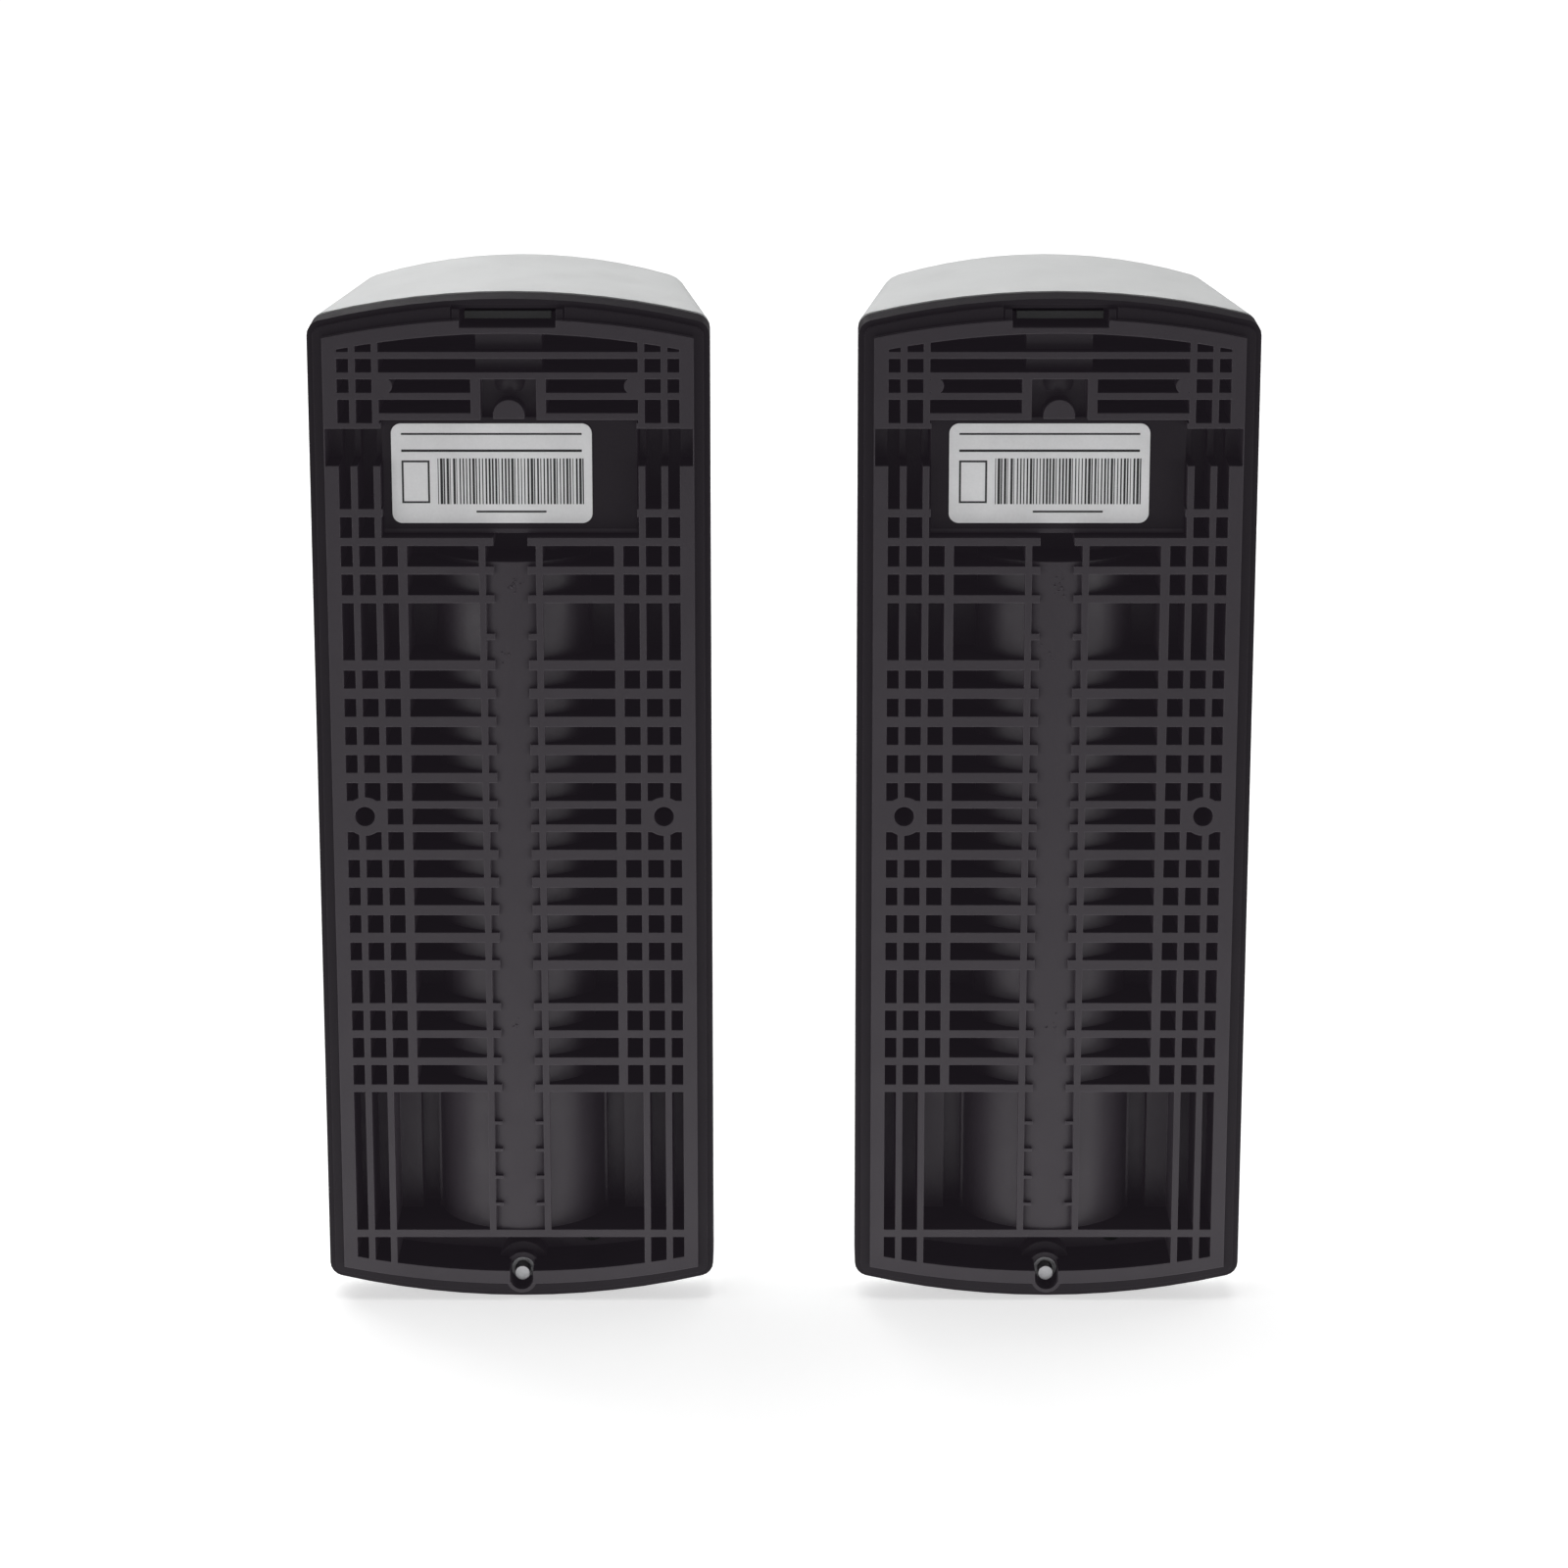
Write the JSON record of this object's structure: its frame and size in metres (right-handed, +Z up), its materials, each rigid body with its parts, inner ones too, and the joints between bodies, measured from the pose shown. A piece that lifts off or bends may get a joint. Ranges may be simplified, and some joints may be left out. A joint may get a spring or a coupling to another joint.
{
  "type": "gate safety photocell",
  "caption": "Pair of upright wall-mounted photocell units, each a ribbed dark rear housing under a pale hooded cover with a dark window and a turning twin-lens turret inside.",
  "frame": {"origin": "midway between the receiver's two fixing holes, on the plane of its rib faces", "axes": "+Y out of the back, towards the post or wall; +Z up; the fronts of both units face -Y, and the transmitter lies towards -X"},
  "size_m": [0.1872, 0.066, 0.2076],
  "materials": {
    "housing_plastic": "fine textured moulding",
    "cover_plastic": "satin moulding",
    "smoked_window": "polished",
    "gloss_black": "glossy",
    "label_film": "satin silver film",
    "rubber": "soft matt",
    "insert_steel": "blackened",
    "circuit_board": "solder mask",
    "screw_steel": "zinc plated",
    "terminal_plastic": "moulded",
    "relay_case": "moulded",
    "coil_wire": "enamelled wire",
    "capacitor_sleeve": "shrink sleeve",
    "status_lamp": "tinted lens",
    "switch_plastic": "moulded",
    "mode_plastic": "moulded",
    "turret_plastic": "moulded",
    "carrier_plastic": "moulded",
    "lens_glass": "polished",
    "diode_black": "epoxy",
    "emitter_glass": "epoxy dome",
    "knob_plastic": "moulded",
    "white_plastic": "moulded"
  },
  "bodies": {
    "housings": {"receiver_rear_housing": "housing_plastic", "receiver_rating_label": "label_film", "receiver_cover_gasket": "rubber", "receiver_cable_grommet": "rubber", "receiver_screw_insert": "insert_steel", "receiver_main_board": "circuit_board", "receiver_board_screws": "screw_steel", "receiver_terminal_block": "terminal_plastic", "receiver_terminal_screws": "screw_steel", "receiver_relay": "relay_case", "receiver_capacitors": "capacitor_sleeve", "receiver_status_lights": "status_lamp", "receiver_tamper_switch": "switch_plastic", "receiver_mode_switch": "mode_plastic", "receiver_turret_bracket": "turret_plastic", "receiver_bracket_screws": "screw_steel", "transmitter_rear_housing": "housing_plastic", "transmitter_rating_label": "label_film", "transmitter_cover_gasket": "rubber", "transmitter_cable_grommet": "rubber", "transmitter_screw_insert": "insert_steel", "transmitter_main_board": "circuit_board", "transmitter_board_screws": "screw_steel", "transmitter_terminal_block": "terminal_plastic", "transmitter_terminal_screws": "screw_steel", "transmitter_drive_coil": "coil_wire", "transmitter_capacitors": "capacitor_sleeve", "transmitter_status_lights": "status_lamp", "transmitter_tamper_switch": "switch_plastic", "transmitter_mode_switch": "mode_plastic", "transmitter_turret_bracket": "turret_plastic", "transmitter_bracket_screws": "screw_steel"},
    "receiver_cover": {"receiver_cover_shell": "cover_plastic", "receiver_infrared_window": "smoked_window", "receiver_cover_hook": "gloss_black"},
    "receiver_cover_screw": {"receiver_cover_screw": "screw_steel"},
    "receiver_plunger": {"receiver_tamper_plunger": "white_plastic", "receiver_tamper_spring": "screw_steel"},
    "receiver_turret": {"receiver_pan_yoke": "turret_plastic"},
    "receiver_optics": {"receiver_lens_carrier": "carrier_plastic", "receiver_upper_lens": "lens_glass", "receiver_lower_lens": "lens_glass", "receiver_optics_board": "circuit_board", "receiver_photodiodes": "diode_black"},
    "receiver_knob": {"receiver_sensitivity_knob": "knob_plastic"},
    "receiver_mode_slider": {"receiver_mode_slider": "white_plastic"},
    "transmitter_cover": {"transmitter_cover_shell": "cover_plastic", "transmitter_infrared_window": "smoked_window", "transmitter_cover_hook": "gloss_black"},
    "transmitter_cover_screw": {"transmitter_cover_screw": "screw_steel"},
    "transmitter_plunger": {"transmitter_tamper_plunger": "white_plastic", "transmitter_tamper_spring": "screw_steel"},
    "transmitter_turret": {"transmitter_pan_yoke": "turret_plastic"},
    "transmitter_optics": {"transmitter_lens_carrier": "carrier_plastic", "transmitter_upper_lens": "lens_glass", "transmitter_lower_lens": "lens_glass", "transmitter_optics_board": "circuit_board", "transmitter_emitters": "emitter_glass"},
    "transmitter_mode_slider": {"transmitter_mode_slider": "white_plastic"},
    "transmitter_range_slider": {"transmitter_range_slider": "white_plastic"}
  },
  "joints": [
    {"name": "receiver_cover_pull", "type": "slide", "parent": "housings", "child": "receiver_cover", "axis": [0, -1, 0], "range_m": [0, 0.09]},
    {"name": "receiver_cover_screw_turn", "type": "hinge", "parent": "receiver_cover", "child": "receiver_cover_screw", "pos_m": [0, -0.022, -0.0991], "axis": [0, -1, 0], "continuous": true},
    {"name": "receiver_plunger_press", "type": "slide", "parent": "housings", "child": "receiver_plunger", "axis": [0, 1, 0], "range_m": [0, 0.0015], "stiffness_N_per_m": 200, "springref_m": -0.002},
    {"name": "receiver_turret_pan", "type": "hinge", "parent": "housings", "child": "receiver_turret", "pos_m": [0, -0.03, 0.0265], "axis": [0, 0, 1], "range_deg": [-90, 90]},
    {"name": "receiver_optics_tilt", "type": "hinge", "parent": "receiver_turret", "child": "receiver_optics", "pos_m": [0, -0.03, 0.0265], "axis": [1, 0, 0], "range_deg": [-10, 10]},
    {"name": "receiver_knob_turn", "type": "hinge", "parent": "housings", "child": "receiver_knob", "pos_m": [-0.02, -0.03, -0.0229], "axis": [0, -1, 0], "range_deg": [0, 270]},
    {"name": "receiver_mode_slide", "type": "slide", "parent": "housings", "child": "receiver_mode_slider", "axis": [0, 0, -1], "range_m": [0, 0.002]},
    {"name": "transmitter_cover_pull", "type": "slide", "parent": "housings", "child": "transmitter_cover", "axis": [0, -1, 0], "range_m": [0, 0.09]},
    {"name": "transmitter_cover_screw_turn", "type": "hinge", "parent": "transmitter_cover", "child": "transmitter_cover_screw", "pos_m": [-0.1082, -0.022, -0.0991], "axis": [0, -1, 0], "continuous": true},
    {"name": "transmitter_plunger_press", "type": "slide", "parent": "housings", "child": "transmitter_plunger", "axis": [0, 1, 0], "range_m": [0, 0.0015], "stiffness_N_per_m": 200, "springref_m": -0.002},
    {"name": "transmitter_turret_pan", "type": "hinge", "parent": "housings", "child": "transmitter_turret", "pos_m": [-0.1082, -0.03, 0.0265], "axis": [0, 0, 1], "range_deg": [-90, 90]},
    {"name": "transmitter_optics_tilt", "type": "hinge", "parent": "transmitter_turret", "child": "transmitter_optics", "pos_m": [-0.1082, -0.03, 0.0265], "axis": [1, 0, 0], "range_deg": [-10, 10]},
    {"name": "transmitter_mode_slide", "type": "slide", "parent": "housings", "child": "transmitter_mode_slider", "axis": [0, 0, -1], "range_m": [0, 0.002]},
    {"name": "transmitter_range_slide", "type": "slide", "parent": "housings", "child": "transmitter_range_slider", "axis": [0, 0, -1], "range_m": [0, 0.002]}
  ]
}
